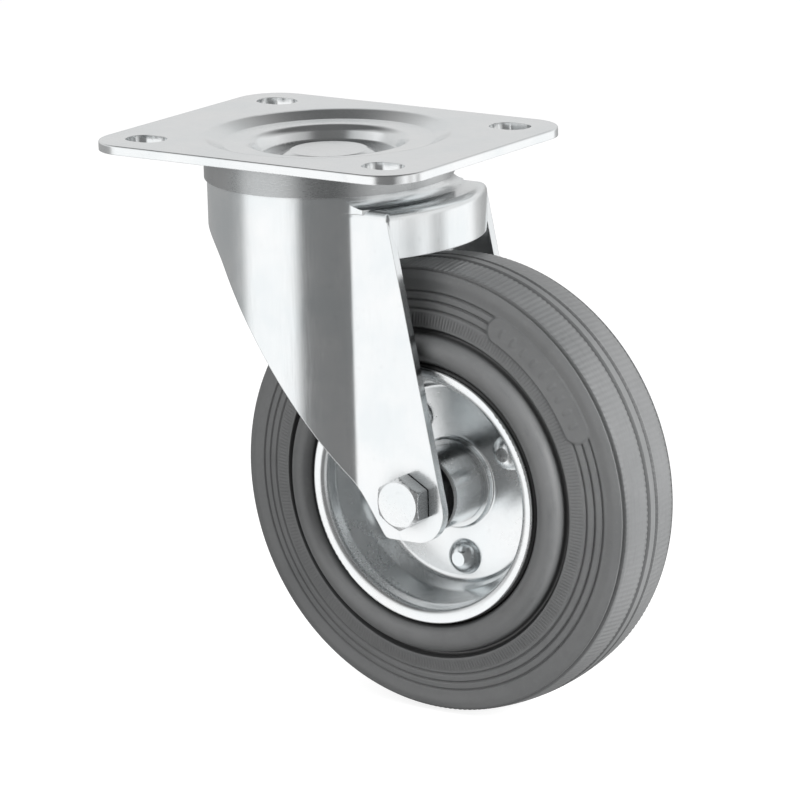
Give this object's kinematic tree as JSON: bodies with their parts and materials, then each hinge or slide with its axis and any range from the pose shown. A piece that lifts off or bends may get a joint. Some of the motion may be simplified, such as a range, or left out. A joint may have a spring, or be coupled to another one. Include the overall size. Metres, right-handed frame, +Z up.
{
  "type": "swivel caster",
  "caption": "Swivel plate caster: solid rubber tyre on a riveted pressed steel wheel with a roller bearing, in a pressed steel fork under a slotted ball-race top plate.",
  "frame": {"origin": "centre of the top plate's upper face, on the swivel axis", "axes": "+Z up out of the mounting face, +X from the swivel axis towards the wheel's axle (trailing direction), Y along the axle; the bolt head is on the -Y side"},
  "size_m": [0.155, 0.084, 0.155],
  "materials": {
    "plate_zinc": "bright zinc plate, soft gloss",
    "fork_zinc": "bright zinc plate, soft gloss",
    "ring_steel": "darker satin zinc",
    "rim_zinc": "bright zinc plate, glossy",
    "bolt_zinc": "zinc plate, machined faces",
    "bearing_steel": "hardened and polished",
    "tyre_rubber": "grey-black, satin",
    "nylon_white": "natural nylon",
    "nylon_blue": "dyed nylon"
  },
  "bodies": {
    "plate": {"top_plate": "plate_zinc", "kingpin": "plate_zinc", "lower_race_cup": "ring_steel", "dust_ring": "ring_steel"},
    "upper_ball_ring": {"upper_balls": "bearing_steel"},
    "lower_ball_ring": {"lower_balls": "bearing_steel"},
    "fork": {"fork": "fork_zinc", "axle_bolt": "bolt_zinc", "axle_nut": "bolt_zinc", "nut_insert": "nylon_blue", "axle_sleeve": "bearing_steel"},
    "wheel": {"tyre": "tyre_rubber", "rim_near": "rim_zinc", "rim_far": "rim_zinc", "rim_rivets": "bolt_zinc", "hub_tube": "rim_zinc", "bearing_cap_near": "ring_steel", "bearing_cap_far": "ring_steel"},
    "cage": {"roller_cage": "nylon_white"},
    "roller_1": {"roller_1": "bearing_steel"},
    "roller_2": {"roller_2": "bearing_steel"},
    "roller_3": {"roller_3": "bearing_steel"},
    "roller_4": {"roller_4": "bearing_steel"},
    "roller_5": {"roller_5": "bearing_steel"},
    "roller_6": {"roller_6": "bearing_steel"},
    "roller_7": {"roller_7": "bearing_steel"},
    "roller_8": {"roller_8": "bearing_steel"}
  },
  "joints": [
    {"name": "swivel", "type": "hinge", "parent": "plate", "child": "fork", "pos_m": [0, 0, 0], "axis": [0, 0, 1], "continuous": true},
    {"name": "upper_balls_orbit", "type": "hinge", "parent": "plate", "child": "upper_ball_ring", "pos_m": [0, 0, 0], "axis": [0, 0, 1], "continuous": true},
    {"name": "lower_balls_orbit", "type": "hinge", "parent": "plate", "child": "lower_ball_ring", "pos_m": [0, 0, 0], "axis": [0, 0, 1], "continuous": true},
    {"name": "wheel_spin", "type": "hinge", "parent": "fork", "child": "wheel", "pos_m": [0.04, 0, -0.0925], "axis": [0, 1, 0], "continuous": true},
    {"name": "cage_spin", "type": "hinge", "parent": "fork", "child": "cage", "pos_m": [0.04, 0, -0.0925], "axis": [0, 1, 0], "continuous": true},
    {"name": "roller_1_spin", "type": "hinge", "parent": "cage", "child": "roller_1", "pos_m": [0.04775, 0, -0.0925], "axis": [0, 1, 0], "continuous": true},
    {"name": "roller_2_spin", "type": "hinge", "parent": "cage", "child": "roller_2", "pos_m": [0.04548, 0, -0.08702], "axis": [0, 1, 0], "continuous": true},
    {"name": "roller_3_spin", "type": "hinge", "parent": "cage", "child": "roller_3", "pos_m": [0.04, 0, -0.08475], "axis": [0, 1, 0], "continuous": true},
    {"name": "roller_4_spin", "type": "hinge", "parent": "cage", "child": "roller_4", "pos_m": [0.03452, 0, -0.08702], "axis": [0, 1, 0], "continuous": true},
    {"name": "roller_5_spin", "type": "hinge", "parent": "cage", "child": "roller_5", "pos_m": [0.03225, 0, -0.0925], "axis": [0, 1, 0], "continuous": true},
    {"name": "roller_6_spin", "type": "hinge", "parent": "cage", "child": "roller_6", "pos_m": [0.03452, 0, -0.09798], "axis": [0, 1, 0], "continuous": true},
    {"name": "roller_7_spin", "type": "hinge", "parent": "cage", "child": "roller_7", "pos_m": [0.04, 0, -0.10025], "axis": [0, 1, 0], "continuous": true},
    {"name": "roller_8_spin", "type": "hinge", "parent": "cage", "child": "roller_8", "pos_m": [0.04548, 0, -0.09798], "axis": [0, 1, 0], "continuous": true}
  ],
  "couplings": [
    {"joint": "upper_balls_orbit", "follows": "swivel", "ratio": 0.5},
    {"joint": "lower_balls_orbit", "follows": "swivel", "ratio": 0.5},
    {"joint": "cage_spin", "follows": "wheel_spin", "ratio": 0.6129},
    {"joint": "roller_1_spin", "follows": "wheel_spin", "ratio": 2.1014},
    {"joint": "roller_2_spin", "follows": "wheel_spin", "ratio": 2.1014},
    {"joint": "roller_3_spin", "follows": "wheel_spin", "ratio": 2.1014},
    {"joint": "roller_4_spin", "follows": "wheel_spin", "ratio": 2.1014},
    {"joint": "roller_5_spin", "follows": "wheel_spin", "ratio": 2.1014},
    {"joint": "roller_6_spin", "follows": "wheel_spin", "ratio": 2.1014},
    {"joint": "roller_7_spin", "follows": "wheel_spin", "ratio": 2.1014},
    {"joint": "roller_8_spin", "follows": "wheel_spin", "ratio": 2.1014}
  ]
}
